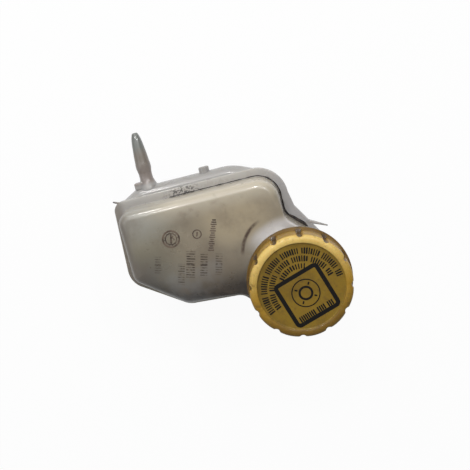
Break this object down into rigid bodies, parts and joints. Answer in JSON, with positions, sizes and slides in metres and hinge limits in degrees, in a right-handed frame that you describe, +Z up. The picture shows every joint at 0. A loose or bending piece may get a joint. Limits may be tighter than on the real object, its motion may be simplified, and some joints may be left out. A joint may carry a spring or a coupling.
{
  "type": "brake fluid reservoir",
  "caption": "Translucent welded tank with a lobed screw cap, two outlet spigots below, a sealed side nipple and a float level sensor inside.",
  "frame": {"origin": "on the front outlet spigot's axis, halfway along its straight seat", "axes": "+Z up along the outlets and the filler neck, +X from the far end to the filler end, +Y to the side with the sealed nipple"},
  "size_m": [0.1244, 0.1265, 0.0946],
  "materials": {
    "clouded_plastic": "translucent moulded polypropylene, satin",
    "yellow_plastic": "worn yellow moulding with dirt",
    "white_plastic": "plain moulding",
    "black_rubber": "matt rubber",
    "mesh_plastic": "fine woven mesh",
    "float_plastic": "stained moulding",
    "magnet": "dark ferrite",
    "black_plastic": "fine grained moulding",
    "reed_glass": "clear glass",
    "tinned_wire": "tinned wire",
    "terminal_metal": "plated blade"
  },
  "bodies": {
    "tank": {"upper_shell": "clouded_plastic", "lower_shell": "clouded_plastic", "strainer_frame": "white_plastic", "strainer_mesh": "mesh_plastic", "float_stop": "white_plastic", "sensor_housing": "black_plastic", "sensor_seal": "black_rubber", "reed_switch": "reed_glass", "reed_lead_short": "tinned_wire", "reed_lead_long": "tinned_wire", "terminal_left": "terminal_metal", "terminal_right": "terminal_metal"},
    "cap_seal": {"bellows": "black_rubber"},
    "cap": {"cap_shell": "yellow_plastic", "cap_insert": "white_plastic", "vent_disc": "black_rubber"},
    "level_float": {"float_body": "float_plastic", "float_cover": "float_plastic", "float_magnet": "magnet"}
  },
  "joints": [
    {"name": "cap_rise", "type": "slide", "parent": "tank", "child": "cap_seal", "axis": [0, 0, 1], "range_m": [0, 0.009]},
    {"name": "cap_turn", "type": "hinge", "parent": "cap_seal", "child": "cap", "pos_m": [0.024, -0.027, 0.0825], "axis": [0, 0, 1], "range_deg": [0, 540]},
    {"name": "float_rise", "type": "slide", "parent": "tank", "child": "level_float", "axis": [0, 0, 1], "range_m": [0, 0.011]}
  ],
  "couplings": [
    {"joint": "cap_rise", "follows": "cap_turn", "m_per_rad": 0.00095492}
  ]
}
